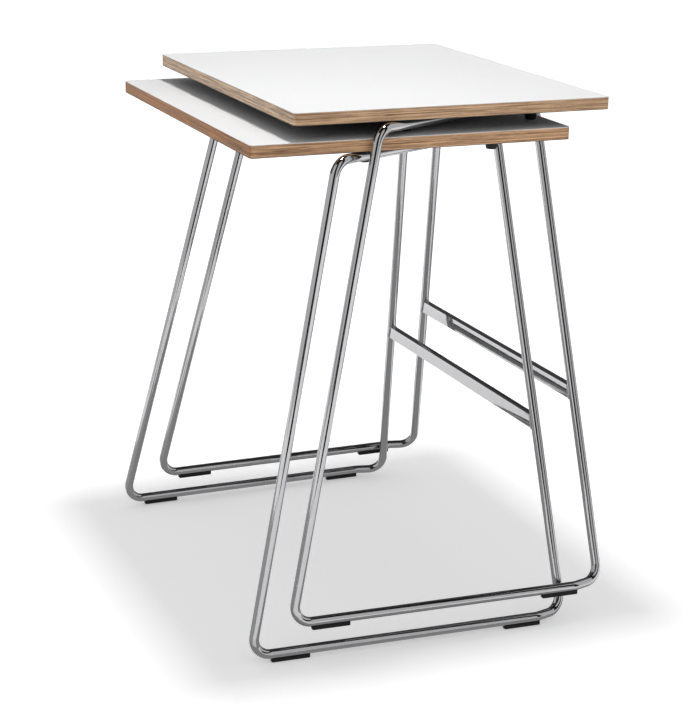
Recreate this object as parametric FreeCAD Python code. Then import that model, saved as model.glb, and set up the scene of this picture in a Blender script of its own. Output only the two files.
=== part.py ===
"""Two identical stacking tables with bent-rod loop frames, the upper one resting on the lower one.

X runs from the left-hand legs to the right-hand legs, Y from the near frame to the far frame, Z up.
Origin: on the floor, under the middle of the stack's footprint. Units are millimetres.
"""

import FreeCAD
import Part

import math
import os

V = FreeCAD.Vector

# Table top
TABLE_HEIGHT = 740.0
TOP_LENGTH = 484.0
TOP_WIDTH = 576.0
TOP_THICKNESS = 18.0
LAMINATE = 0.8
TOP_CORNER_RADIUS = 6.0

# Stack: how far each added table sits to the right of, and above, the one below
STACK_RIGHT = 62.0
STACK_UP = 40.0
STACK_AIR = 0.3

# Loop frames of bent round rod, given by the corner points of the rod's centre line.
# The far loop's points are given as if it stood on the near side, and are mirrored over.
ROD_RADIUS = 7.0
RAIL_LOW_Z = 12.0
RAIL_HIGH_Z = 714.4
LEFT_TOP = {"near": (120.0, -11.0), "far": (175.0, -11.0)}
LEFT_FOOT = {"near": (-6.0, -28.5), "far": (1.0, -37.0)}
RAIL_KINK = {"near": (441.0, -54.5), "far": (433.0, -36.0)}
RIGHT_FOOT = {"near": (487.5, -42.5), "far": (480.0, -25.0)}
RIGHT_TOP = {"near": (434.5, 132.5), "far": (434.5, 132.5)}
BEND_RADIUS = 25.0
KINK_RADIUS = 28.0

# Stretcher bar between the right-hand legs
BAR_HEIGHT = 20.0
BAR_THICKNESS = 11.0
BAR_CENTRE_Z = 290.0
WELD_SIZE = 1.6
WELD_LENGTH = 3.0

# Strip glides under the bottom rails, by the distance of their middles from the left foot
GLIDE_LENGTH = 58.0
GLIDE_WIDTH = 10.0
GLIDE_HEIGHT = 6.8
GLIDE_EDGE = 1.0
GLIDE_MIDDLES = {
    "near": {"left": 59.0, "right": 422.0},
    "far": {"left": 64.0, "right": 403.0},
}
PIN_RADIUS = 1.8
PIN_DEPTH = 6.0
PIN_SPACING = 38.0

# Stacking bumpers, screwed up into the top
BUMPER_BASE_RADIUS = 11.5
BUMPER_TIP_RADIUS = 8.0
BUMPER_FLANGE = 3.0
BUMPER_SPOTS = {"left": (182.0, 40.0), "right": (397.0, 73.5)}
BUMPER_BORE_RADIUS = 4.6
BUMPER_BORE_DEPTH = 13.0

# Fasteners
SCREW_SHANK_RADIUS = 1.9
SCREW_HEAD_RADIUS = 3.8
SCREW_HEAD_HEIGHT = 2.4
SCREW_BITE = 12.0

# Lugs welded to the top rails, by the share of the way along the rail
LUG_SHARES = (0.33, 0.66)
LUG_WIDTH = 22.0
LUG_REACH = 25.0
LUG_THICKNESS = 3.0
LUG_SCREW_REACH = 15.5


def mirror_far(point):
    """Carry a point of the near frame over to the far frame."""
    return V(point.x, TOP_WIDTH - point.y, point.z)


def loop_corners(side):
    """Corner points of one loop: left top, left foot, kink, right foot, right top."""
    corners = [
        V(*LEFT_TOP[side], RAIL_HIGH_Z),
        V(*LEFT_FOOT[side], RAIL_LOW_Z),
        V(*RAIL_KINK[side], RAIL_LOW_Z),
        V(*RIGHT_FOOT[side], RAIL_LOW_Z),
        V(*RIGHT_TOP[side], RAIL_HIGH_Z),
    ]
    if side == "far":
        corners = [mirror_far(corner) for corner in corners]
    return corners


def unit(vector):
    return vector * (1.0 / vector.Length)


def bend(before, corner, after, radius):
    """One bend of the rod: its solid and the two points where it meets the straights."""
    to_before = unit(before - corner)
    to_after = unit(after - corner)
    opening = math.acos(to_before.dot(to_after))
    setback = radius / math.tan(opening / 2.0)
    start = corner + to_before * setback
    end = corner + to_after * setback
    centre = corner + unit(to_before + to_after) * (radius / math.sin(opening / 2.0))
    axis = unit(to_before.cross(to_after)) * -1.0
    disc = Part.Face(Part.Wire(Part.makeCircle(ROD_RADIUS, start, to_before)))
    solid = disc.revolve(centre, axis, math.degrees(math.pi - opening))
    return solid, start, end


def rod_loop(side):
    """A closed loop of round rod with a bend at every corner."""
    corners = loop_corners(side)
    radii = [BEND_RADIUS, BEND_RADIUS, KINK_RADIUS, BEND_RADIUS, BEND_RADIUS]
    count = len(corners)
    bends = []
    for index in range(count):
        after = corners[(index + 1) % count]
        bends.append(bend(corners[index - 1], corners[index], after, radii[index]))
    solids = [solid for solid, start, end in bends]
    for index in range(count):
        leave = bends[index][2]
        arrive = bends[(index + 1) % count][1]
        run = arrive - leave
        solids.append(Part.makeCylinder(ROD_RADIUS, run.Length, leave, run))
    return solids[0].multiFuse(solids[1:]).removeSplitter()


def sheet(z_low, thickness):
    """A board the size of the top, with rounded upright corners."""
    board = Part.makeBox(TOP_LENGTH, TOP_WIDTH, thickness, V(0, 0, z_low))
    uprights = []
    for edge in board.Edges:
        ends = [vertex.Point for vertex in edge.Vertexes]
        if abs(ends[0].z - ends[1].z) > thickness / 2.0:
            uprights.append(edge)
    return board.makeFillet(TOP_CORNER_RADIUS, uprights)


def upright_cylinder(radius, spot, z_low, z_high):
    return Part.makeCylinder(radius, z_high - z_low, V(spot[0], spot[1], z_low))


def screw(spot, head_z):
    """A wood screw driven upwards, its head's lower face at head_z."""
    tip_z = TABLE_HEIGHT - TOP_THICKNESS + SCREW_BITE
    head_top = head_z + SCREW_HEAD_HEIGHT
    head = upright_cylinder(SCREW_HEAD_RADIUS, spot, head_z, head_top)
    head = head.makeFillet(0.9, [head.Edges[2]])
    shank = upright_cylinder(SCREW_SHANK_RADIUS, spot, head_top, tip_z)
    drive = Part.makeBox(2.6, 2.6, 1.4, V(spot[0] - 1.3, spot[1] - 1.3, head_z))
    return head.fuse(shank).cut(drive).removeSplitter()


def bumper(spot):
    """A tapered rubber bumper with a flange at the top and a screw bore in its tip."""
    top_z = TABLE_HEIGHT - TOP_THICKNESS
    tip_z = TABLE_HEIGHT - STACK_UP + STACK_AIR
    flange_z = top_z - BUMPER_FLANGE
    body = Part.makeCone(
        BUMPER_TIP_RADIUS, BUMPER_BASE_RADIUS - 1.0, flange_z - tip_z, V(spot[0], spot[1], tip_z)
    )
    flange = upright_cylinder(BUMPER_BASE_RADIUS, spot, flange_z, top_z)
    bore = upright_cylinder(BUMPER_BORE_RADIUS, spot, tip_z, tip_z + BUMPER_BORE_DEPTH)
    return body.fuse(flange).cut(bore).removeSplitter()


def rail_frame(side):
    """Start point and direction of the straight bottom rail."""
    corners = loop_corners(side)
    along = unit(corners[2] - corners[1])
    return corners[1], along


def glide(side, distance):
    """A strip glide that cups the underside of the bottom rail."""
    start, along = rail_frame(side)
    strip = Part.makeBox(
        GLIDE_LENGTH, GLIDE_WIDTH, GLIDE_HEIGHT, V(-GLIDE_LENGTH / 2.0, -GLIDE_WIDTH / 2.0, 0)
    )
    lower_edges = [edge for edge in strip.Edges if edge.BoundBox.ZMax < 0.01]
    strip = strip.makeFillet(GLIDE_EDGE, lower_edges)
    strip.rotate(V(0, 0, 0), V(0, 0, 1), math.degrees(math.atan2(along.y, along.x)))
    middle = start + along * distance
    strip.translate(V(middle.x, middle.y, 0))
    return strip


def glide_pins(side, distance):
    """Two pins that hold a glide in its holes in the rail."""
    start, along = rail_frame(side)
    pins = []
    for share in (-0.5, 0.5):
        spot = start + along * (distance + share * PIN_SPACING)
        low = 1.5
        high = RAIL_LOW_Z - ROD_RADIUS + PIN_DEPTH
        pins.append(upright_cylinder(PIN_RADIUS, (spot.x, spot.y), low, high))
    return pins


def lug_placement(side, share):
    """Middle of a lug on the rail, the rail's direction and the way the lug reaches."""
    corners = loop_corners(side)
    left_top = corners[0]
    right_top = corners[4]
    middle = left_top + (right_top - left_top) * share
    along = unit(right_top - left_top)
    inward = V(-along.y, along.x, 0)
    if side == "far":
        inward = inward * -1.0
    return middle, along, inward


def lug(side, share):
    """A flat lug that lies against the underside of the top beside the rail."""
    middle, along, inward = lug_placement(side, share)
    plate_z = TABLE_HEIGHT - TOP_THICKNESS - LUG_THICKNESS
    half = along * (LUG_WIDTH / 2.0)
    foot = V(middle.x, middle.y, plate_z)
    outline = [foot - half, foot + half, foot + half + inward * LUG_REACH, foot - half + inward * LUG_REACH]
    plate = Part.Face(Part.makePolygon(outline + outline[:1])).extrude(V(0, 0, LUG_THICKNESS))
    outer = []
    for edge in plate.Edges:
        upright = edge.BoundBox.ZLength > LUG_THICKNESS / 2.0
        reach = (edge.CenterOfMass - foot).dot(inward)
        if upright and reach > LUG_REACH / 2.0:
            outer.append(edge)
    return plate.makeFillet(5.0, outer)


def lug_screw_spot(side, share):
    middle, along, inward = lug_placement(side, share)
    spot = middle + inward * LUG_SCREW_REACH
    return (spot.x, spot.y)


def leg_point(side, z):
    """Centre of a right-hand leg at height z."""
    corners = loop_corners(side)
    foot = corners[3]
    top = corners[4]
    return foot + (top - foot) * ((z - foot.z) / (top.z - foot.z))


def level_bar(start, end, width, height):
    """A bar of rectangular section that runs level from one point to another."""
    run = end - start
    bar = Part.makeBox(run.Length, width, height, V(0, -width / 2.0, -height / 2.0))
    bar.rotate(V(0, 0, 0), V(0, 0, 1), math.degrees(math.atan2(run.y, run.x)))
    bar.translate(start)
    return bar


def stretcher_and_welds(near_loop, far_loop):
    """The flat bar between the right-hand legs and the weld collars at its ends."""
    near = leg_point("near", BAR_CENTRE_Z)
    far = leg_point("far", BAR_CENTRE_Z)
    bar = level_bar(near, far, BAR_THICKNESS, BAR_HEIGHT)
    bar = bar.cut(near_loop).cut(far_loop)
    weld_width = BAR_THICKNESS + 2.0 * WELD_SIZE
    weld_height = BAR_HEIGHT + 2.0 * WELD_SIZE
    reach = unit(far - near) * (ROD_RADIUS + WELD_LENGTH)
    welds = []
    for start, end in ((near, near + reach), (far, far - reach)):
        collar = level_bar(start, end, weld_width, weld_height)
        collar = collar.cut(near_loop).cut(far_loop).cut(bar)
        welds.extend(collar.Solids)
    bar_pieces = sorted(bar.Solids, key=lambda piece: piece.Volume)
    return bar_pieces[-1], welds


def build_table():
    """All pieces of one table, by name, in the lower table's place."""
    underside = TABLE_HEIGHT - TOP_THICKNESS
    core = sheet(underside + LAMINATE, TOP_THICKNESS - 2.0 * LAMINATE)
    under_sheet = sheet(underside, LAMINATE)
    top_sheet = sheet(TABLE_HEIGHT - LAMINATE, LAMINATE)
    loops = {"near": rod_loop("near"), "far": rod_loop("far")}

    pieces = {}
    bar, welds = stretcher_and_welds(loops["near"], loops["far"])
    pieces["stretcher"] = bar
    pieces["stretcher_welds"] = Part.makeCompound(welds)

    pins = []
    screws = []
    for side in ("near", "far"):
        for end, distance in GLIDE_MIDDLES[side].items():
            new_pins = glide_pins(side, distance)
            strip = glide(side, distance).cut(loops[side])
            for pin in new_pins:
                strip = strip.cut(pin)
                loops[side] = loops[side].cut(pin)
            pins.extend(new_pins)
            pieces["glide_" + side + "_" + end] = strip
        for end, near_spot in BUMPER_SPOTS.items():
            spot = near_spot
            if side == "far":
                spot = (near_spot[0], TOP_WIDTH - near_spot[1])
            head_z = TABLE_HEIGHT - STACK_UP + STACK_AIR + BUMPER_BORE_DEPTH - SCREW_HEAD_HEIGHT
            new_screw = screw(spot, head_z)
            pieces["bumper_" + side + "_" + end] = bumper(spot).cut(new_screw)
            screws.append(new_screw)
        lugs = []
        for share in LUG_SHARES:
            head_z = underside - LUG_THICKNESS - SCREW_HEAD_HEIGHT
            new_screw = screw(lug_screw_spot(side, share), head_z)
            screws.append(new_screw)
            plate = lug(side, share).cut(loops[side]).cut(new_screw)
            lugs.append(max(plate.Solids, key=lambda piece: piece.Volume))
        pieces["lugs_" + side] = Part.makeCompound(lugs)

    for one in screws:
        core = core.cut(one)
        under_sheet = under_sheet.cut(one)
    pieces["frame_near"] = loops["near"]
    pieces["frame_far"] = loops["far"]
    pieces["top_core"] = core
    pieces["top_laminate"] = top_sheet
    pieces["under_laminate"] = under_sheet
    pieces["screws"] = Part.makeCompound(screws)
    pieces["glide_pins"] = Part.makeCompound(pins)
    return pieces


def moved(shape, offset):
    copy = shape.copy()
    copy.translate(offset)
    return copy


def main():
    os.makedirs("parts", exist_ok=True)
    table = build_table()
    lower = {"lower_" + name: shape for name, shape in table.items()}
    step = V(STACK_RIGHT, 0, STACK_UP)
    upper = {"upper_" + name: moved(shape, step) for name, shape in table.items()}
    nodes = {}
    nodes.update(lower)
    nodes.update(upper)

    bounds = FreeCAD.BoundBox()
    for shape in nodes.values():
        bounds.add(shape.optimalBoundingBox(False, False))
    to_origin = V(-bounds.Center.x, -bounds.Center.y, -bounds.ZMin)
    for name, shape in nodes.items():
        moved(shape, to_origin).exportStep("parts/" + name + ".step")


main()
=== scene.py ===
"""Looks of two stacked nesting tables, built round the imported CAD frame.

Metres, in the frame of the CAD: X from the left-hand legs to the right-hand legs, Y from near to far, Z up.
Table coordinates start on the table's own floor level, under the near left corner of its top.
"""

import math

import bpy
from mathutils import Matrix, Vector


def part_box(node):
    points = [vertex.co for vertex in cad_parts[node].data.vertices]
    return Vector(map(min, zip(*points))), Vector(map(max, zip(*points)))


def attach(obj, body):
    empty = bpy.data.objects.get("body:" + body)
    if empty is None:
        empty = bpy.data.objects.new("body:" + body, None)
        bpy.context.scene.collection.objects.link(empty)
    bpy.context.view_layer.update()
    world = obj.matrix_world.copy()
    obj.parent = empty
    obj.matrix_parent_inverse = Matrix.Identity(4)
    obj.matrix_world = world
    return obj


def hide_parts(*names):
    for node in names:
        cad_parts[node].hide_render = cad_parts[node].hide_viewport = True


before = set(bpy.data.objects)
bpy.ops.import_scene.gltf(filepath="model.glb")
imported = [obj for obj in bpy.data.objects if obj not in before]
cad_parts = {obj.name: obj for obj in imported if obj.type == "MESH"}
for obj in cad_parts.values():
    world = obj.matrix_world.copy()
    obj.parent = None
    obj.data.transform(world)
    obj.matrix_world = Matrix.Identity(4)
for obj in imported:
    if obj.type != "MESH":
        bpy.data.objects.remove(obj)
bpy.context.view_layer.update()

SIDES = ("near", "far")

# Top
TOP_CORNER_RADIUS = 0.006
PLY_COUNT = 11
PLY_GROOVE = 0.00012
ARRIS = 0.0003

# Rod loops: corner points of the rod's centre line, in table coordinates
ROD_RADIUS = 0.007
RAIL_LOW_Z = 0.012
RAIL_HIGH_Z = 0.7144
LEFT_TOP = {"near": (0.120, -0.011), "far": (0.175, -0.011)}
LEFT_FOOT = {"near": (-0.006, -0.0285), "far": (0.001, -0.037)}
RAIL_KINK = {"near": (0.441, -0.0545), "far": (0.433, -0.036)}
RIGHT_FOOT = {"near": (0.4875, -0.0425), "far": (0.480, -0.025)}
RIGHT_TOP = {"near": (0.4345, 0.1325), "far": (0.4345, 0.1325)}
BEND_RADIUS = 0.025
KINK_RADIUS = 0.028
ROD_SIDES = 40
ARC_STEP = math.radians(3.5)
LONGEST_RUN = 0.05

# Stretcher
BAR_HEIGHT = 0.020
BAR_THICKNESS = 0.011
BAR_CENTRE_Z = 0.290
BAR_EDGE = 0.0007
BAR_STEPS = 12
BAR_SMOOTH_ANGLE = 50.0
BEAD_RADIUS = 0.0019
BEAD_CORNER_RADIUS = 0.0025
BEAD_STEP = 0.0007
BEAD_SMOOTH_ANGLE = 60.0

# Strip glides, by the distance of their middles from the left foot along the rail
GLIDE_LENGTH = 0.058
GLIDE_WIDTH = 0.010
GLIDE_HEIGHT = 0.0068
GLIDE_CORNER_RADIUS = 0.0025
GLIDE_FILLET = 0.0011
GLIDE_CHAMFER = 0.0004
GLIDE_CUP_GAP = 0.00005
GLIDE_END_TURN = 82.0
GLIDE_END_RISE = 0.25
GLIDE_MIDDLES = {
    "near": {"left": 0.059, "right": 0.422},
    "far": {"left": 0.064, "right": 0.403},
}

# Lugs, by the share of the way along the top rail
LUG_SHARES = (0.33, 0.66)
LUG_WIDTH = 0.022
LUG_REACH = 0.025
LUG_THICKNESS = 0.003
LUG_CORNER = 0.005
LUG_SCREW_REACH = 0.0155
LUG_EDGE = 0.0004
LUG_BEAD_RADIUS = 0.0013
LUG_BEAD_INSET = 0.002
LUG_BEAD_OUT = 0.0002
LUG_BEAD_DROP = 0.0001

# Screws; an axis flat is the small radius at which a turned body is closed
SCREW_HEAD_RADIUS = 0.0038
SCREW_HEAD_HEIGHT = 0.0024
SCREW_DRIVE = 0.0013
SCREW_SOCKET_DEPTH = 0.0016
SCREW_SQUARENESS = 8.0
SCREW_AXIS_FLAT = 0.0002

# Bumpers
BUMPER_BORE_RADIUS = 0.0046
BUMPER_BORE_DEPTH = 0.013
BUMPER_FLANGE = 0.003
BUMPER_TAPER = 0.0035
BUMPER_NECK_INSET = 0.001
BUMPER_ROLL = 0.0014
BUMPER_AXIS_FLAT = 0.0006

# Ripples along the weld beads
RIPPLE_STEP = 0.0006
RIPPLE_TURN = 2.1
RIPPLE_SWELL = 0.07
BEAD_RIPPLE_TURN = 2.3
BEAD_RIPPLE_SWELL = 0.08


# ---------------------------------------------------------------- measures taken from the frame

def table_start(table):
    """Where the table coordinates' zero point stands in the frame."""
    top_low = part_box(table + "_top_core")[0]
    glide_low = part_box(table + "_glide_near_left")[0]
    return Vector((top_low.x, top_low.y, glide_low.z))


core_low, core_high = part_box("lower_top_core")
TOP_WIDTH = core_high.y - core_low.y


def underside(table):
    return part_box(table + "_under_laminate")[0].z


def to_side(point, side):
    """A near-side point in table coordinates, or its mirror image on the far side."""
    if side == "near":
        return Vector(point)
    return Vector((point[0], TOP_WIDTH - point[1], point[2]))


# ---------------------------------------------------------------- materials

class Shader:
    """A material with a Principled shader and short ways to add nodes to it."""

    def __init__(self, name, **inputs):
        self.material = bpy.data.materials.new(name)
        self.material.use_nodes = True
        self.tree = self.material.node_tree
        self.principled = self.tree.nodes["Principled BSDF"]
        for key, value in inputs.items():
            self.principled.inputs[key.replace("_", " ")].default_value = value

    def node(self, kind, **settings):
        made = self.tree.nodes.new(kind)
        for key, value in settings.items():
            setattr(made, key, value)
        return made

    def link(self, output, target):
        self.tree.links.new(output, target)

    def math(self, operation, first, second=None, third=None):
        made = self.node("ShaderNodeMath", operation=operation)
        for index, value in enumerate((first, second, third)):
            if value is None:
                continue
            if isinstance(value, (int, float)):
                made.inputs[index].default_value = value
            else:
                self.link(value, made.inputs[index])
        return made.outputs[0]

    def place(self):
        """The place of a point of the piece, as a vector."""
        return self.node("ShaderNodeTexCoord").outputs["Object"]

    def split(self, vector):
        """The x, y and z of a vector."""
        made = self.node("ShaderNodeSeparateXYZ")
        self.link(vector, made.inputs[0])
        return made.outputs[0], made.outputs[1], made.outputs[2]

    def vector(self, x, y, z):
        made = self.node("ShaderNodeCombineXYZ")
        for index, value in enumerate((x, y, z)):
            if isinstance(value, (int, float)):
                made.inputs[index].default_value = value
            else:
                self.link(value, made.inputs[index])
        return made.outputs[0]

    def noise(self, vector, scale, detail=2.0, roughness=0.5):
        made = self.node("ShaderNodeTexNoise")
        made.inputs["Scale"].default_value = scale
        made.inputs["Detail"].default_value = detail
        made.inputs["Roughness"].default_value = roughness
        self.link(vector, made.inputs["Vector"])
        return made.outputs["Fac"]

    def stretched_noise(self, along, along_scale, across, across_scale, third, detail=3.0, roughness=0.6):
        """Noise with its own scale along and across the grain. third tells one pattern from another."""
        vector = self.vector(
            self.math("MULTIPLY", along, along_scale), self.math("MULTIPLY", across, across_scale), third
        )
        return self.noise(vector, 1.0, detail, roughness)

    def span(self, value, low, high, out_low, out_high):
        """value from low..high carried smoothly to out_low..out_high."""
        made = self.node("ShaderNodeMapRange", interpolation_type="SMOOTHSTEP")
        self.link(value, made.inputs["Value"])
        for key, number in (
            ("From Min", low),
            ("From Max", high),
            ("To Min", out_low),
            ("To Max", out_high),
        ):
            made.inputs[key].default_value = number
        return made.outputs["Result"]

    def blend(self, share, first, second, mode="MIX"):
        made = self.node("ShaderNodeMix", data_type="RGBA", blend_type=mode)
        for socket, value in ((made.inputs[0], share), (made.inputs[6], first), (made.inputs[7], second)):
            if isinstance(value, (int, float)):
                socket.default_value = value
            elif isinstance(value, tuple):
                socket.default_value = (*value, 1.0)
            else:
                self.link(value, socket)
        return made.outputs[2]

    def colour(self, output):
        self.link(output, self.principled.inputs["Base Color"])

    def roughness(self, output):
        self.link(output, self.principled.inputs["Roughness"])

    def bump(self, height, distance, strength=1.0):
        made = self.node("ShaderNodeBump")
        made.inputs["Strength"].default_value = strength
        made.inputs["Distance"].default_value = distance
        self.link(height, made.inputs["Height"])
        self.link(made.outputs[0], self.principled.inputs["Normal"])


def chrome():
    """Polished chrome plate with faint smears and the slight waviness of bent rod."""
    shader = Shader("chrome", Metallic=1.0)
    place = shader.place()
    smear = shader.noise(place, 55.0, 4.0, 0.6)
    shader.colour(shader.blend(smear, (0.505, 0.505, 0.515), (0.465, 0.465, 0.475)))
    shader.roughness(shader.span(smear, 0.35, 0.75, 0.045, 0.11))
    shader.bump(shader.noise(place, 28.0, 2.0), 0.00003)
    return shader.material


def weld_chrome():
    """Plated weld bead: darker and rougher than the rod."""
    shader = Shader("weld_chrome", Metallic=1.0)
    place = shader.place()
    grain = shader.noise(place, 900.0, 4.0, 0.65)
    shader.colour(shader.blend(grain, (0.30, 0.30, 0.305), (0.52, 0.52, 0.53)))
    shader.roughness(shader.span(grain, 0.3, 0.7, 0.16, 0.34))
    shader.bump(grain, 0.0003)
    return shader.material


def laminate():
    """White high-pressure laminate with a fine matt texture."""
    shader = Shader("laminate", Specular_IOR_Level=0.35)
    place = shader.place()
    cloud = shader.noise(place, 7.0, 3.0)
    shader.colour(shader.blend(cloud, (0.770, 0.770, 0.772), (0.750, 0.751, 0.754)))
    pebble = shader.noise(place, 1400.0, 3.0, 0.6)
    shader.roughness(shader.span(pebble, 0.3, 0.7, 0.38, 0.5))
    shader.bump(pebble, 0.00004, 0.5)
    return shader.material


def backing():
    """Near-black laminate under the top, which keeps the gap between the stacked tops dark."""
    shader = Shader("backing_laminate", Specular_IOR_Level=0.3)
    place = shader.place()
    cloud = shader.noise(place, 9.0, 3.0)
    shader.colour(shader.blend(cloud, (0.030, 0.028, 0.027), (0.040, 0.037, 0.036)))
    pebble = shader.noise(place, 1100.0, 3.0, 0.6)
    shader.roughness(shader.span(pebble, 0.3, 0.7, 0.45, 0.6))
    shader.bump(pebble, 0.00005, 0.5)
    return shader.material


PORE_SHADE = 0.62
GLUE_SHADE = 0.40
KNOT_COLOUR = (0.05, 0.026, 0.014)


def shade(colour, share):
    return tuple(share * part for part in colour)


def plywood(name, z_low, z_high, pale, dark, left_edge_painted_light, knots):
    """Lacquered birch plies: long-grain and end-grain layers by turns, streaked along the edge.

    knots lists (left, along, height, half_length, half_height); left is 1 on the left-hand edge, 0 elsewhere.
    The left-hand edges get painted light and shade from a per-table colour factor.
    """
    shader = Shader(name, Specular_IOR_Level=0.4)
    x, y, z = shader.split(shader.place())
    along = shader.math("ADD", x, y)
    level = shader.math("MULTIPLY", shader.math("SUBTRACT", z, z_low), PLY_COUNT / (z_high - z_low))
    layer = shader.math("FLOOR", level)
    odd = shader.math("MODULO", shader.math("ADD", layer, 20.0), 2.0)
    face_x = shader.split(shader.node("ShaderNodeTexCoord").outputs["Normal"])[0]
    sideways = shader.math("GREATER_THAN", shader.math("ABSOLUTE", face_x), 0.7)
    left = shader.span(shader.math("MULTIPLY", face_x, -1.0), 0.5, 0.9, 0.0, 1.0)
    end_grain = shader.math("ABSOLUTE", shader.math("SUBTRACT", odd, sideways))

    streaks = shader.stretched_noise(along, 16.0, z, 430.0, 1.7)
    veins = shader.stretched_noise(along, 60.0, z, 1300.0, layer)
    pores = shader.stretched_noise(along, 900.0, z, 500.0, layer)
    plies = shader.stretched_noise(along, 5.0, layer, 7.31, 4.2, 1.0, 0.5)
    tone = shader.math("MULTIPLY", shader.span(streaks, 0.36, 0.64, 0.0, 1.0), 0.44)
    tone = shader.math("MULTIPLY_ADD", shader.span(plies, 0.34, 0.66, 0.0, 1.0), 0.34, tone)
    tone = shader.math("MULTIPLY_ADD", shader.span(veins, 0.35, 0.65, 0.0, 1.0), 0.22, tone)
    colour = shader.blend(tone, dark, pale)
    fleck = shader.math("MULTIPLY", end_grain, shader.span(pores, 0.35, 0.7, 0.05, 0.40))
    colour = shader.blend(fleck, colour, shade(dark, PORE_SHADE))
    glue = shader.math("ABSOLUTE", shader.math("SUBTRACT", shader.math("FRACT", level), 0.5))
    colour = shader.blend(shader.span(glue, 0.40, 0.5, 0.0, 0.5), colour, shade(dark, GLUE_SHADE))
    # Painted light and shade: the left-hand edges' colour is multiplied by the given factor, lighter on the
    # upper table and darker on the lower, for how light falls on them.
    colour = shader.blend(left, colour, left_edge_painted_light, "MULTIPLY")
    for on_left, knot_along, knot_height, half_length, half_height in knots:
        side_mask = left if on_left else shader.math("SUBTRACT", 1.0, left)
        offset_along = shader.math("DIVIDE", shader.math("SUBTRACT", along, knot_along), half_length)
        offset_height = shader.math("DIVIDE", shader.math("SUBTRACT", z, knot_height), half_height)
        height_squared = shader.math("POWER", offset_height, 2.0)
        reach = shader.math("SQRT", shader.math("MULTIPLY_ADD", offset_along, offset_along, height_squared))
        ragged = shader.math("MULTIPLY_ADD", pores, 0.6, reach)
        mask = shader.math("MULTIPLY", shader.span(ragged, 0.7, 1.5, 0.85, 0.0), side_mask)
        colour = shader.blend(mask, colour, KNOT_COLOUR)
    shader.colour(colour)
    shader.roughness(shader.span(streaks, 0.3, 0.7, 0.42, 0.6))
    shader.bump(shader.math("ADD", streaks, pores), 0.00012, 0.7)
    return shader.material


def glide_plastic():
    """Black moulded plastic, scuffed where it slides on the floor."""
    shader = Shader("glide_plastic", Specular_IOR_Level=0.25)
    place = shader.place()
    x, y, z = shader.split(place)
    grain = shader.noise(place, 1300.0, 3.0, 0.6)
    scuff = shader.noise(shader.vector(x, shader.math("MULTIPLY", y, 6.0), z), 90.0, 5.0, 0.7)
    scuffed = shader.span(scuff, 0.52, 0.8, 0.0, 1.0)
    shader.colour(shader.blend(scuffed, (0.0065, 0.0065, 0.007), (0.016, 0.016, 0.017)))
    shader.roughness(shader.span(grain, 0.3, 0.7, 0.48, 0.66))
    shader.bump(grain, 0.00008, 0.6)
    return shader.material


def bumper_rubber():
    """Black rubber with a dull bloom."""
    shader = Shader("bumper_rubber", Specular_IOR_Level=0.3)
    place = shader.place()
    grain = shader.noise(place, 1500.0, 4.0, 0.65)
    bloom = shader.noise(place, 130.0, 3.0)
    shader.colour(shader.blend(bloom, (0.010, 0.010, 0.010), (0.026, 0.025, 0.024)))
    shader.roughness(shader.span(bloom, 0.3, 0.7, 0.6, 0.82))
    shader.bump(grain, 0.0001, 0.6)
    return shader.material


def zinc_steel():
    """Zinc-plated steel, lightly brushed, a little mottled."""
    shader = Shader("zinc_steel", Metallic=1.0)
    place = shader.place()
    x, y, z = shader.split(place)
    brushed = shader.noise(shader.vector(shader.math("MULTIPLY", x, 12.0), y, z), 260.0, 3.0)
    mottle = shader.noise(place, 220.0, 3.0)
    shader.colour(shader.blend(mottle, (0.50, 0.51, 0.53), (0.66, 0.66, 0.65)))
    shader.roughness(shader.span(brushed, 0.3, 0.7, 0.26, 0.42))
    shader.bump(brushed, 0.00006, 0.6)
    return shader.material


CHROME = chrome()
WELD_CHROME = weld_chrome()
LAMINATE_WHITE = laminate()
BACKING = backing()
GLIDE_PLASTIC = glide_plastic()
BUMPER_RUBBER = bumper_rubber()
ZINC_STEEL = zinc_steel()


# ---------------------------------------------------------------- mesh work

def add_piece(name, points, faces, material, body, replaced, smooth_angle=35.0):
    """A mesh object that rides on a body and stands for the CAD nodes in replaced."""
    mesh = bpy.data.meshes.new(name)
    mesh.from_pydata([tuple(point) for point in points], [], faces)
    mesh.materials.append(material)
    mesh.shade_smooth()
    mesh.set_sharp_from_angle(angle=math.radians(smooth_angle))
    piece = bpy.data.objects.new(name, mesh)
    bpy.context.scene.collection.objects.link(piece)
    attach(piece, body)
    if replaced:
        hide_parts(*replaced)
    return piece


def add_bevel(piece, width, segments=2):
    modifier = piece.modifiers.new("edges", "BEVEL")
    modifier.width = width
    modifier.segments = segments
    modifier.limit_method = "ANGLE"
    modifier.angle_limit = math.radians(35.0)


def join_rings(rings, closed_along=False):
    """Points and faces of a skin through rings that have equally many points."""
    count = len(rings[0])
    points = [point for ring in rings for point in ring]
    faces = []
    steps = len(rings) if closed_along else len(rings) - 1
    for step in range(steps):
        here = step * count
        there = ((step + 1) % len(rings)) * count
        for index in range(count):
            after = (index + 1) % count
            faces.append((here + index, here + after, there + after, there + index))
    if not closed_along:
        faces.append(tuple(reversed(range(count))))
        last = (len(rings) - 1) * count
        faces.append(tuple(range(last, last + count)))
    return points, faces


def gather(parts):
    """Several (points, faces) pairs as one."""
    points = []
    faces = []
    for part_points, part_faces in parts:
        start = len(points)
        points.extend(part_points)
        faces.extend(tuple(start + index for index in face) for face in part_faces)
    return points, faces


def circle(radius, sides):
    angles = [2.0 * math.pi * index / sides for index in range(sides)]
    return [(radius * math.cos(angle), radius * math.sin(angle)) for angle in angles]


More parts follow.
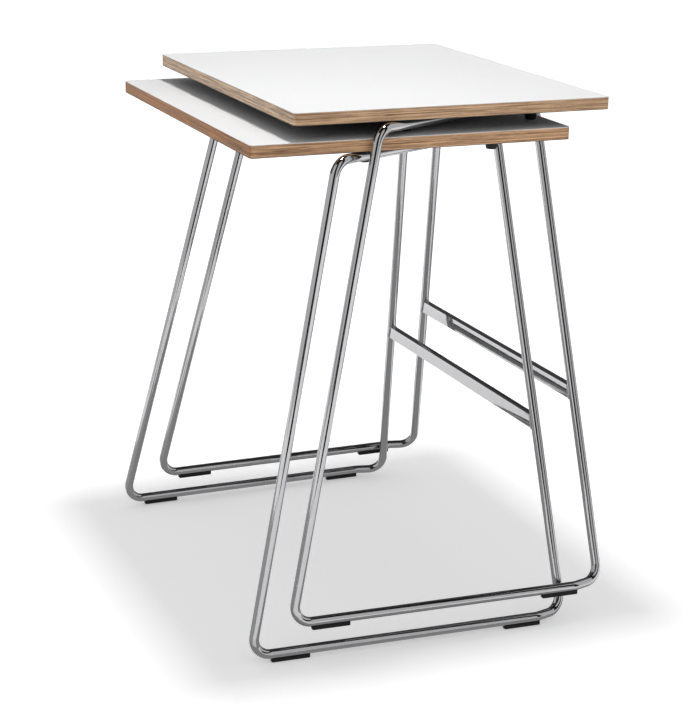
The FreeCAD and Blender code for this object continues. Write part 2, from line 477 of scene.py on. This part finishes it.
def lathe(centre, profile, sides=48):
    """A body turned about an upright axis.

    profile lists (radius, z), or (radius, z, squareness) for a squared ring.
    """
    rings = []
    for entry in profile:
        radius, z = entry[0], entry[1]
        power = entry[2] if len(entry) > 2 else 2.0
        ring = []
        for index in range(sides):
            angle = 2.0 * math.pi * index / sides
            cosine, sine = math.cos(angle), math.sin(angle)
            reach = radius / (abs(cosine) ** power + abs(sine) ** power) ** (1.0 / power)
            ring.append(Vector((centre.x + reach * cosine, centre.y + reach * sine, z)))
        rings.append(ring)
    return join_rings(rings)


def rounded_path(corners, radii):
    """Centre line of a closed rod: an arc at every corner, and points along the straights between them."""
    count = len(corners)
    arcs = []
    for index in range(count):
        corner = corners[index]
        to_before = (corners[index - 1] - corner).normalized()
        to_after = (corners[(index + 1) % count] - corner).normalized()
        opening = to_before.angle(to_after)
        radius = radii[index]
        centre = corner + (to_before + to_after).normalized() * (radius / math.sin(opening / 2.0))
        setback = radius / math.tan(opening / 2.0)
        from_centre = corner + to_before * setback - centre
        to_centre = corner + to_after * setback - centre
        turn = math.pi - opening
        steps = max(4, math.ceil(turn / ARC_STEP))
        arc = []
        for step in range(steps + 1):
            share = step / steps
            weight_from = math.sin((1.0 - share) * turn) / math.sin(turn)
            weight_to = math.sin(share * turn) / math.sin(turn)
            arc.append(centre + from_centre * weight_from + to_centre * weight_to)
        arcs.append(arc)
    path = []
    for index in range(count):
        path.extend(arcs[index])
        leave = arcs[index][-1]
        arrive = arcs[(index + 1) % count][0]
        pieces = math.ceil((arrive - leave).length / LONGEST_RUN)
        path.extend(leave.lerp(arrive, step / pieces) for step in range(1, pieces))
    return path


def closed_tube(path, radius_at, sides):
    """A round tube along a closed path that is nowhere parallel to Y."""
    count = len(path)
    rings = []
    for index, point in enumerate(path):
        tangent = (path[(index + 1) % count] - path[index - 1]).normalized()
        across = tangent.cross(Vector((0.0, 1.0, 0.0))).normalized()
        other = tangent.cross(across)
        radius = radius_at(index)
        rings.append([point + across * u + other * v for u, v in circle(radius, sides)])
    return join_rings(rings, closed_along=True)


def capsule(start, end, radius, sides=12, caps=4):
    """A straight bead with round ends and a rippled skin."""
    tangent = (end - start).normalized()
    across = tangent.orthogonal().normalized()
    other = tangent.cross(across)
    length = (end - start).length
    stations = []
    for step in range(caps):
        angle = math.pi / 2.0 * (step + 0.35) / caps
        stations.append((-radius * math.cos(angle), radius * math.sin(angle)))
    ripples = max(8, int(length / RIPPLE_STEP))
    for step in range(ripples + 1):
        swell = 1.0 + RIPPLE_SWELL * math.sin(step * RIPPLE_TURN)
        stations.append((length * step / ripples, radius * swell))
    for step in reversed(range(caps)):
        angle = math.pi / 2.0 * (step + 0.35) / caps
        stations.append((length + radius * math.cos(angle), radius * math.sin(angle)))
    rings = []
    for distance, reach in stations:
        middle = start + tangent * distance
        rings.append([middle + across * u + other * v for u, v in circle(reach, sides)])
    return join_rings(rings)


def rounded_rectangle(low_x, low_y, high_x, high_y, radius, steps=10):
    """Outline of a rectangle with round corners, anticlockwise."""
    outline = []
    for centre_x, centre_y, start in (
        (high_x - radius, low_y + radius, -90.0),
        (high_x - radius, high_y - radius, 0.0),
        (low_x + radius, high_y - radius, 90.0),
        (low_x + radius, low_y + radius, 180.0),
    ):
        for step in range(steps + 1):
            angle = math.radians(start + 90.0 * step / steps)
            outline.append((centre_x + radius * math.cos(angle), centre_y + radius * math.sin(angle)))
    return outline


# ---------------------------------------------------------------- the pieces

def board(low, high, profile):
    """A board with round corners whose edge follows profile, a list of (inset, z) from bottom to top."""
    rings = []
    for inset, z in profile:
        outline = rounded_rectangle(
            low.x + inset, low.y + inset, high.x - inset, high.y - inset, TOP_CORNER_RADIUS - inset
        )
        rings.append([Vector((x, y, z)) for x, y in outline])
    return join_rings(rings)


def make_core(table, material):
    """The plywood core. Every ply stands a hair proud of the glue lines beside it."""
    node = table + "_top_core"
    low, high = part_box(node)
    ply = (high.z - low.z) / PLY_COUNT
    profile = []
    for index in range(PLY_COUNT):
        z = low.z + index * ply
        profile.append((PLY_GROOVE, z))
        profile.append((0.0, z + PLY_GROOVE))
        profile.append((0.0, z + ply - PLY_GROOVE))
    profile.append((PLY_GROOVE, high.z))
    points, faces = board(low, high, profile)
    add_piece(table + "_plywood_core", points, faces, material, table + "_table", [node])


def make_laminate(table, node_end, piece_end, material, face_up):
    """A thin sheet on the core with an eased outer arris."""
    node = table + node_end
    low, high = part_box(node)
    eased = [(0.0, 0.0), (0.0, high.z - low.z - ARRIS)]
    for angle in (30.0, 60.0, 90.0):
        turn = math.radians(angle)
        eased.append((ARRIS * (1.0 - math.cos(turn)), high.z - low.z - ARRIS * (1.0 - math.sin(turn))))
    if face_up:
        profile = [(inset, low.z + rise) for inset, rise in eased]
    else:
        profile = [(inset, high.z - rise) for inset, rise in reversed(eased)]
    points, faces = board(low, high, profile)
    add_piece(table + piece_end, points, faces, material, table + "_table", [node])


def loop_corners(table, side):
    """Corner points of one rod loop: left top, left foot, kink, right foot, right top."""
    start = table_start(table)
    flat = [
        (*LEFT_TOP[side], RAIL_HIGH_Z),
        (*LEFT_FOOT[side], RAIL_LOW_Z),
        (*RAIL_KINK[side], RAIL_LOW_Z),
        (*RIGHT_FOOT[side], RAIL_LOW_Z),
        (*RIGHT_TOP[side], RAIL_HIGH_Z),
    ]
    return [start + to_side(corner, side) for corner in flat]


def make_loop(table, side):
    corners = loop_corners(table, side)
    path = rounded_path(corners, [BEND_RADIUS, BEND_RADIUS, KINK_RADIUS, BEND_RADIUS, BEND_RADIUS])
    if side == "far":
        path.reverse()
    points, faces = closed_tube(path, lambda index: ROD_RADIUS, ROD_SIDES)
    add_piece(
        f"{table}_rod_loop_{side}",
        points,
        faces,
        CHROME,
        table + "_table",
        [f"{table}_frame_{side}"],
    )


def right_leg(table, side):
    """Foot point and direction of a right-hand leg's centre line."""
    corners = loop_corners(table, side)
    return corners[3], (corners[4] - corners[3]).normalized()


def on_leg(table, side, z):
    foot, along = right_leg(table, side)
    return foot + along * ((z - foot.z) / along.z)


def leg_surface(table, side, x, z, inward):
    """Where the line through x and z, parallel to Y, leaves the leg's surface towards the other side."""
    along = right_leg(table, side)[1]
    middle = on_leg(table, side, z)
    offset = Vector((x, middle.y, z)) - middle
    ray = Vector((0.0, inward, 0.0))
    flat_offset = offset - along * offset.dot(along)
    flat_ray = ray - along * ray.dot(along)
    half = flat_offset.dot(flat_ray)
    square = flat_ray.length_squared
    root = math.sqrt(half * half - square * (flat_offset.length_squared - ROD_RADIUS**2))
    return Vector((x, middle.y + inward * (root - half) / square, z))


def make_stretcher(table):
    """The flat bar between the right-hand legs, with its edges broken."""
    z = table_start(table).z + BAR_CENTRE_Z
    near = on_leg(table, "near", z)
    far = on_leg(table, "far", z)
    half_width = BAR_THICKNESS / 2.0
    half_height = BAR_HEIGHT / 2.0
    section = rounded_rectangle(-half_width, -half_height, half_width, half_height, BAR_EDGE, 4)
    rings = []
    for step in range(BAR_STEPS + 1):
        middle = near.lerp(far, step / BAR_STEPS)
        rings.append([middle + Vector((u, 0.0, v)) for u, v in reversed(section)])
    points, faces = join_rings(rings)
    add_piece(
        table + "_stretcher_bar",
        points,
        faces,
        CHROME,
        table + "_table",
        [table + "_stretcher"],
        BAR_SMOOTH_ANGLE,
    )


def rippled_bead(index):
    """Radius of the stretcher's weld bead at one of its rings."""
    return BEAD_RADIUS * (1.0 + BEAD_RIPPLE_SWELL * math.sin(index * BEAD_RIPPLE_TURN))


def make_stretcher_beads(table):
    """A weld bead all round each end of the bar."""
    z = table_start(table).z + BAR_CENTRE_Z
    half_width = BAR_THICKNESS / 2.0
    half_height = BAR_HEIGHT / 2.0
    section = rounded_rectangle(-half_width, -half_height, half_width, half_height, BEAD_CORNER_RADIUS, 5)
    dense = []
    for index, (u, v) in enumerate(section):
        next_u, next_v = section[(index + 1) % len(section)]
        pieces = max(1, round(math.hypot(next_u - u, next_v - v) / BEAD_STEP))
        for step in range(pieces):
            share = step / pieces
            dense.append((u + (next_u - u) * share, v + (next_v - v) * share))
    parts = []
    for side, inward in (("near", 1.0), ("far", -1.0)):
        middle_x = on_leg(table, side, z).x
        path = [leg_surface(table, side, middle_x + u, z + v, inward) for u, v in dense]
        parts.append(closed_tube(path, rippled_bead, 12))
    points, faces = gather(parts)
    add_piece(
        table + "_stretcher_weld_beads",
        points,
        faces,
        WELD_CHROME,
        table + "_table",
        [table + "_stretcher_welds"],
        BEAD_SMOOTH_ANGLE,
    )


def rail_frame(table, side):
    """Start, direction and sideways direction of a bottom rail."""
    corners = loop_corners(table, side)
    along = (corners[2] - corners[1]).normalized()
    return corners[1], along, Vector((-along.y, along.x, 0.0))


def make_glide(table, side, end):
    """A strip glide: flat below, cupped to the rod above, with small fillets."""
    start, along, across = rail_frame(table, side)
    floor_z = table_start(table).z
    middle = start + along * GLIDE_MIDDLES[side][end]
    half_width = GLIDE_WIDTH / 2.0
    fillet = GLIDE_FILLET
    section = []
    for centre, first in ((-half_width + fillet, 180.0), (half_width - fillet, 270.0)):
        for step in range(5):
            angle = math.radians(first + 90.0 * step / 4.0)
            section.append((centre + fillet * math.cos(angle), fillet + fillet * math.sin(angle)))
    section.append((half_width, GLIDE_HEIGHT - GLIDE_CHAMFER))
    section.append((half_width - GLIDE_CHAMFER, GLIDE_HEIGHT))
    cup_radius = ROD_RADIUS + GLIDE_CUP_GAP
    opening = math.acos((RAIL_LOW_Z - GLIDE_HEIGHT) / cup_radius)
    for step in range(9):
        angle = opening * (1.0 - step / 4.0)
        section.append((cup_radius * math.sin(angle), RAIL_LOW_Z - cup_radius * math.cos(angle)))
    section.append((-half_width + GLIDE_CHAMFER, GLIDE_HEIGHT))
    section.append((-half_width, GLIDE_HEIGHT - GLIDE_CHAMFER))
    half_length = GLIDE_LENGTH / 2.0
    stations = []
    for step in range(6):
        turn = math.radians(GLIDE_END_TURN * step / 5.0)
        distance = half_length - GLIDE_CORNER_RADIUS * (1.0 - math.sin(turn))
        stations.append((distance, GLIDE_CORNER_RADIUS * (1.0 - math.cos(turn))))
    stations = [(-distance, inset) for distance, inset in reversed(stations)] + stations
    rings = []
    for distance, inset in stations:
        ring = []
        for u, v in section:
            spot = middle + along * distance + across * (u * (1.0 - inset / half_width))
            ring.append(Vector((spot.x, spot.y, floor_z + max(v, GLIDE_END_RISE * inset))))
        rings.append(ring)
    points, faces = join_rings(rings)
    node = f"{table}_glide_{side}_{end}"
    add_piece(
        f"{table}_strip_glide_{side}_{end}",
        points,
        faces,
        GLIDE_PLASTIC,
        table + "_table",
        [node],
    )


def make_bumper(table, side, end):
    """A tapered rubber bumper with a rolled tip, a flange and the screw's bore."""
    node = f"{table}_bumper_{side}_{end}"
    low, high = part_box(node)
    base = (high.x - low.x) / 2.0
    tip = base - BUMPER_TAPER
    centre = Vector(((low.x + high.x) / 2.0, (low.y + high.y) / 2.0, 0.0))
    flange_z = high.z - BUMPER_FLANGE
    neck = base - BUMPER_NECK_INSET
    profile = [(BUMPER_AXIS_FLAT, low.z + BUMPER_BORE_DEPTH)]
    profile += [
        (BUMPER_BORE_RADIUS - 0.0005, low.z + BUMPER_BORE_DEPTH),
        (BUMPER_BORE_RADIUS, low.z + BUMPER_BORE_DEPTH - 0.0005),
        (BUMPER_BORE_RADIUS, low.z + 0.0008),
        (BUMPER_BORE_RADIUS + 0.0003, low.z + 0.0002),
        (BUMPER_BORE_RADIUS + 0.0009, low.z),
    ]
    roll = BUMPER_ROLL
    for step in range(6):
        angle = math.radians(90.0 * step / 5.0)
        profile.append((tip - roll + roll * math.sin(angle), low.z + roll - roll * math.cos(angle)))
    profile += [
        (neck - 0.0003, flange_z - 0.0006),
        (neck, flange_z - 0.0001),
        (base - 0.0004, flange_z + 0.0001),
        (base, flange_z + 0.0006),
        (base, high.z - 0.0004),
        (base - 0.0004, high.z),
        (BUMPER_AXIS_FLAT, high.z),
    ]
    points, faces = lathe(centre, profile)
    add_piece(
        f"{table}_rubber_bumper_{side}_{end}",
        points,
        faces,
        BUMPER_RUBBER,
        table + "_table",
        [node],
    )


def lug_frame(table, side, share):
    """Middle of a lug on the top rail, the rail's direction and the way the lug reaches."""
    corners = loop_corners(table, side)
    along = (corners[4] - corners[0]).normalized()
    inward = Vector((-along.y, along.x, 0.0))
    if side == "far":
        inward = -inward
    return corners[0].lerp(corners[4], share), along, inward


def make_lugs(table, side):
    """The two lug plates of one loop, and the bead that welds each to its rail."""
    plates = []
    beads = []
    top = underside(table)
    for share in LUG_SHARES:
        middle, along, inward = lug_frame(table, side, share)
        half = LUG_WIDTH / 2.0
        outline = [(-half, 0.0), (half, 0.0)]
        for centre, first in ((half - LUG_CORNER, 0.0), (-half + LUG_CORNER, 90.0)):
            for step in range(7):
                angle = math.radians(first + 90.0 * step / 6.0)
                u = centre + LUG_CORNER * math.cos(angle)
                v = LUG_REACH - LUG_CORNER + LUG_CORNER * math.sin(angle)
                outline.append((u, v))
        if side == "far":
            outline.reverse()
        rings = []
        for z in (top - LUG_THICKNESS, top):
            ring = []
            for u, v in outline:
                spot = middle + along * u + inward * v
                ring.append(Vector((spot.x, spot.y, z)))
            rings.append(ring)
        plates.append(join_rings(rings))
        drop = middle.z - (top - LUG_THICKNESS)
        reach = math.sqrt(ROD_RADIUS**2 - drop**2)
        seat = middle + inward * (reach + LUG_BEAD_OUT)
        seat.z = top - LUG_THICKNESS - LUG_BEAD_DROP
        to_end = along * (half - LUG_BEAD_INSET)
        beads.append(capsule(seat - to_end, seat + to_end, LUG_BEAD_RADIUS))
    points, faces = gather(plates)
    piece = add_piece(
        f"{table}_lug_plates_{side}",
        points,
        faces,
        ZINC_STEEL,
        table + "_table",
        [f"{table}_lugs_{side}"],
    )
    add_bevel(piece, LUG_EDGE)
    points, faces = gather(beads)
    add_piece(
        f"{table}_lug_weld_beads_{side}",
        points,
        faces,
        WELD_CHROME,
        table + "_table",
        [],
        BEAD_SMOOTH_ANGLE,
    )


def screw_head(centre, head_z):
    """A low domed screw head seen from below, with a square socket."""
    profile = [
        (SCREW_AXIS_FLAT, head_z + SCREW_SOCKET_DEPTH, SCREW_SQUARENESS),
        (SCREW_DRIVE * 0.8, head_z + 0.0015, SCREW_SQUARENESS),
        (SCREW_DRIVE, head_z + 0.0003, SCREW_SQUARENESS),
        (SCREW_DRIVE + 0.0002, head_z, 5.0),
    ]
    for step in range(6):
        angle = math.radians(15.0 + 75.0 * step / 5.0)
        profile.append(
            (
                SCREW_DRIVE + 0.0004 + (SCREW_HEAD_RADIUS - SCREW_DRIVE - 0.0004) * math.sin(angle),
                head_z + (SCREW_HEAD_HEIGHT - 0.0008) * (1.0 - math.cos(angle)),
            )
        )
    profile.append((SCREW_HEAD_RADIUS, head_z + SCREW_HEAD_HEIGHT))
    profile.append((SCREW_AXIS_FLAT, head_z + SCREW_HEAD_HEIGHT))
    return lathe(centre, profile, 40)


def make_screws(table):
    """The heads of all the screws under one top."""
    parts = []
    top = underside(table)
    for side in SIDES:
        for share in LUG_SHARES:
            middle, _, inward = lug_frame(table, side, share)
            head_z = top - LUG_THICKNESS - SCREW_HEAD_HEIGHT
            parts.append(screw_head(middle + inward * LUG_SCREW_REACH, head_z))
        for end in ("left", "right"):
            low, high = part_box(f"{table}_bumper_{side}_{end}")
            head_z = low.z + BUMPER_BORE_DEPTH - SCREW_HEAD_HEIGHT
            parts.append(screw_head((low + high) / 2.0, head_z))
    points, faces = gather(parts)
    add_piece(
        table + "_screw_heads",
        points,
        faces,
        ZINC_STEEL,
        table + "_table",
        [table + "_screws"],
    )


def make_table(table, plywood_material):
    make_core(table, plywood_material)
    make_laminate(table, "_top_laminate", "_top_sheet", LAMINATE_WHITE, True)
    make_laminate(table, "_under_laminate", "_under_sheet", BACKING, False)
    for side in SIDES:
        make_loop(table, side)
        make_lugs(table, side)
        for end in ("left", "right"):
            make_glide(table, side, end)
            make_bumper(table, side, end)
    make_stretcher(table)
    make_stretcher_beads(table)
    make_screws(table)
    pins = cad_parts[table + "_glide_pins"]
    pins.data.materials.clear()
    pins.data.materials.append(ZINC_STEEL)


# Wood of each table's edges. The tones differ between the two tables partly as painted light and shade, and
# the left-hand edges' factor is painted light and shade. A knot is (1 on the left-hand edge or 0 on the near
# one, distance along the edges from the near left corner, height over the core's underside, half length, half
# height).
WOOD = {
    "lower": {
        "pale": (0.86, 0.52, 0.28),
        "dark": (0.17, 0.076, 0.033),
        "left_edge_painted_light": (0.72, 0.54, 0.35),
        "knots": [(1, 0.035, 0.008, 0.004, 0.0010)],
    },
    "upper": {
        "pale": (0.86, 0.56, 0.33),
        "dark": (0.20, 0.105, 0.051),
        "left_edge_painted_light": (1.16, 1.34, 1.60),
        "knots": [(0, 0.140, 0.008, 0.0105, 0.0010), (1, 0.50, 0.009, 0.004, 0.0010)],
    },
}


def table_plywood(table, pale, dark, left_edge_painted_light, knots):
    """One table's plywood, with its knots placed in the frame."""
    low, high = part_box(table + "_top_core")
    start = table_start(table)
    placed = []
    for on_left, along, height, half_length, half_height in knots:
        placed.append((on_left, start.x + start.y + along, low.z + height, half_length, half_height))
    return plywood("plywood_" + table, low.z, high.z, pale, dark, left_edge_painted_light, placed)


for table_name, wood in WOOD.items():
    make_table(table_name, table_plywood(table_name, **wood))


# ---------------------------------------------------------------- studio

FLOOR_REACH = 16.0
BACKDROP_RADIUS = 15.5
BACKDROP_HEIGHT = 25.0
KEY_HEIGHT = 2.5
KEY_SIZE = 0.28
KEY_POWER = 26.5
SKY_LOW = 0.12
SKY_HIGH = 0.58
SKY_RISE = 0.35
CARD_RADIUS = 4.0
CARD_CENTRE = Vector((0.0, 0.0, 0.3))
CARD_LIFT = 0.004


def add_stage(name, points, faces, material):
    mesh = bpy.data.meshes.new(name)
    mesh.from_pydata([tuple(point) for point in points], [], faces)
    mesh.materials.append(material)
    mesh.shade_smooth()
    piece = bpy.data.objects.new(name, mesh)
    bpy.context.scene.collection.objects.link(piece)
    return piece


def direction(azimuth, elevation):
    """Unit vector. Azimuth 0 is towards -Y and 90 towards +X, in degrees."""
    turn = math.radians(azimuth)
    rise = math.radians(elevation)
    return Vector((math.sin(turn) * math.cos(rise), -math.cos(turn) * math.cos(rise), math.sin(rise)))


def card_material(name, glow):
    """An evenly glowing grey for cards and backdrop, from 0 for black cloth to 1 for a lit white."""
    shader = Shader(name, Roughness=1.0, Specular_IOR_Level=0.0)
    shader.principled.inputs["Base Color"].default_value = (0.0, 0.0, 0.0, 1.0)
    shader.principled.inputs["Emission Color"].default_value = (1.0, 1.0, 1.0, 1.0)
    shader.principled.inputs["Emission Strength"].default_value = glow
    return shader.material


def hide_from(piece, *rays):
    """Hides a stage piece from the kinds of ray named: camera, diffuse, glossy, shadow or transmission."""
    for ray in rays:
        setattr(piece, "visible_" + ray, False)


def floor_material():
    """Pale floor with painted light: it glows more with distance from the middle, so that it reads evenly lit
    further out, where the overhead light no longer reaches; the glow also lightens the shade under the
    tables.
    """
    shader = Shader("floor_painted_glow", Roughness=1.0, Specular_IOR_Level=0.0)
    shader.principled.inputs["Base Color"].default_value = (0.90, 0.90, 0.90, 1.0)
    x, y = shader.split(shader.place())[:2]
    radius = shader.math("SQRT", shader.math("MULTIPLY_ADD", x, x, shader.math("POWER", y, 2.0)))
    shader.principled.inputs["Emission Color"].default_value = (1.0, 1.0, 1.0, 1.0)
    # Painted light: the floor's glow rises from 0.30 within 0.45 m of the middle to 0.66 beyond 2.2 m.
    shader.link(shader.span(radius, 0.45, 2.2, 0.30, 0.66), shader.principled.inputs["Emission Strength"])
    return shader.material


def make_floor():
    signs = ((-1, -1), (1, -1), (1, 1), (-1, 1))
    corners = [(x * FLOOR_REACH, y * FLOOR_REACH, 0.0) for x, y in signs]
    add_stage("floor", corners, [(0, 1, 2, 3)], floor_material())


def make_backdrop():
    """A white wall round the floor that only the camera sees, so that the sky can light the tables dimly."""
    steps = 64
    points = []
    for height in (0.0, BACKDROP_HEIGHT):
        for step in range(steps):
            spot = direction(360.0 * step / steps, 0.0) * BACKDROP_RADIUS
            points.append(Vector((spot.x, spot.y, height)))
    faces = []
    for step in range(steps):
        after = (step + 1) % steps
        faces.append((step, after, after + steps, step + steps))
    wall = add_stage("backdrop", points, faces, card_material("backdrop_white", 1.0))
    hide_from(wall, "diffuse", "glossy", "shadow", "transmission")


def make_key_light():
    data = bpy.data.lights.new("overhead_softbox", "AREA")
    data.shape = "SQUARE"
    data.size = KEY_SIZE
    data.energy = KEY_POWER
    light = bpy.data.objects.new("overhead_softbox", data)
    light.location = (0.0, 0.0, KEY_HEIGHT)
    bpy.context.scene.collection.objects.link(light)


def make_sky():
    world = bpy.data.worlds.new("studio_sky")
    world.use_nodes = True
    nodes = world.node_tree.nodes
    links = world.node_tree.links
    background = nodes["Background"]
    background.inputs["Color"].default_value = (1.0, 1.0, 1.0, 1.0)
    split = nodes.new("ShaderNodeSeparateXYZ")
    links.new(nodes.new("ShaderNodeTexCoord").outputs["Generated"], split.inputs[0])
    ramp = nodes.new("ShaderNodeMapRange")
    ramp.interpolation_type = "SMOOTHSTEP"
    ramp.inputs["From Min"].default_value = 0.0
    ramp.inputs["From Max"].default_value = SKY_RISE
    ramp.inputs["To Min"].default_value = SKY_LOW
    ramp.inputs["To Max"].default_value = SKY_HIGH
    links.new(split.outputs["Z"], ramp.inputs["Value"])
    links.new(ramp.outputs["Result"], background.inputs["Strength"])
    bpy.context.scene.world = world


def only_mirrored(card):
    """Leaves a card visible in reflections alone, so that it neither shows nor shades."""
    hide_from(card, "camera", "diffuse", "shadow", "transmission")


def make_card(name, azimuths, elevations, material):
    """A curved standing card, by the azimuths and elevations between which it is seen."""
    steps = 16
    points = []
    for row in range(steps + 1):
        elevation = elevations[0] + (elevations[1] - elevations[0]) * row / steps
        for column in range(steps + 1):
            azimuth = azimuths[0] + (azimuths[1] - azimuths[0]) * column / steps
            points.append(CARD_CENTRE + direction(azimuth, elevation) * CARD_RADIUS)
    faces = []
    for row in range(steps):
        for column in range(steps):
            first = row * (steps + 1) + column
            faces.append((first, first + 1, first + steps + 2, first + steps + 1))
    only_mirrored(add_stage(name, points, faces, material))


def make_floor_card(name, azimuths, radii, material):
    """A wedge or ring lying just over the floor."""
    steps = 24
    points = []
    for radius in radii:
        for column in range(steps + 1):
            azimuth = azimuths[0] + (azimuths[1] - azimuths[0]) * column / steps
            spot = direction(azimuth, 0.0) * radius
            points.append(Vector((spot.x, spot.y, CARD_LIFT)))
    faces = [(index, index + 1, index + steps + 2, index + steps + 1) for index in range(steps)]
    only_mirrored(add_stage(name, points, faces, material))


# Camera: where it stands in table coordinates of the lower table, and which way it looks
CAMERA_SPOT = Vector((-0.848253, -2.288632, 1.204463))
CAMERA_YAW = 0.410386
CAMERA_PITCH = 0.297390
CAMERA_ROLL = 0.020865
CAMERA_LENS = 95.465
CAMERA_AZIMUTH = -math.degrees(CAMERA_YAW)


def make_camera():
    data = bpy.data.cameras.new("camera")
    data.lens = CAMERA_LENS
    data.sensor_width = 36.0
    data.clip_end = 60.0
    camera = bpy.data.objects.new("camera", data)
    ahead = Vector(
        (
            math.sin(CAMERA_YAW) * math.cos(CAMERA_PITCH),
            math.cos(CAMERA_YAW) * math.cos(CAMERA_PITCH),
            -math.sin(CAMERA_PITCH),
        )
    )
    right = Vector((math.cos(CAMERA_YAW), -math.sin(CAMERA_YAW), 0.0))
    up = right.cross(ahead)
    rolled_right = right * math.cos(CAMERA_ROLL) + up * math.sin(CAMERA_ROLL)
    rolled_up = up * math.cos(CAMERA_ROLL) - right * math.sin(CAMERA_ROLL)
    matrix = camera.matrix_world.copy()
    for row in range(3):
        matrix[row][0] = rolled_right[row]
        matrix[row][1] = rolled_up[row]
        matrix[row][2] = -ahead[row]
        matrix[row][3] = (table_start("lower") + CAMERA_SPOT)[row]
    camera.matrix_world = matrix
    bpy.context.scene.collection.objects.link(camera)
    bpy.context.scene.camera = camera


def make_studio():
    bpy.context.scene.view_settings.view_transform = "Standard"
    make_floor()
    make_backdrop()
    make_key_light()
    make_sky()
    black = card_material("card_black", 0.01)
    charcoal = card_material("card_charcoal", 0.07)
    grey = card_material("card_grey", 0.38)
    soft_grey = card_material("card_soft_grey", 0.50)
    white = card_material("card_white", 0.75)
    front = CAMERA_AZIMUTH
    make_card("card_behind_camera", (front - 18.0, front + 18.0), (-4.0, 58.0), black)
    make_card("card_right_gap", (front + 50.0, front + 70.0), (-4.0, 58.0), black)
    make_card("card_back", (front + 120.0, front + 240.0), (2.0, 58.0), charcoal)
    make_card("card_overhead", (0.0, 360.0), (58.0, 89.0), black)
    make_card("card_left", (front - 120.0, front - 18.0), (-3.0, 58.0), white)
    make_card("card_right", (front + 18.0, front + 50.0), (-3.0, 58.0), white)
    make_card("card_far_right", (front + 70.0, front + 120.0), (-3.0, 58.0), white)
    make_floor_card("card_floor_front", (front - 7.0, front + 22.0), (1.55, 4.0), black)
    make_floor_card("card_floor_middle", (0.0, 360.0), (0.01, 0.46), grey)
    make_floor_card("card_floor_left", (front - 115.0, front - 20.0), (0.46, 2.2), soft_grey)
    make_floor_card("card_floor_back", (front + 100.0, front + 200.0), (0.75, 4.0), grey)
    make_camera()


make_studio()
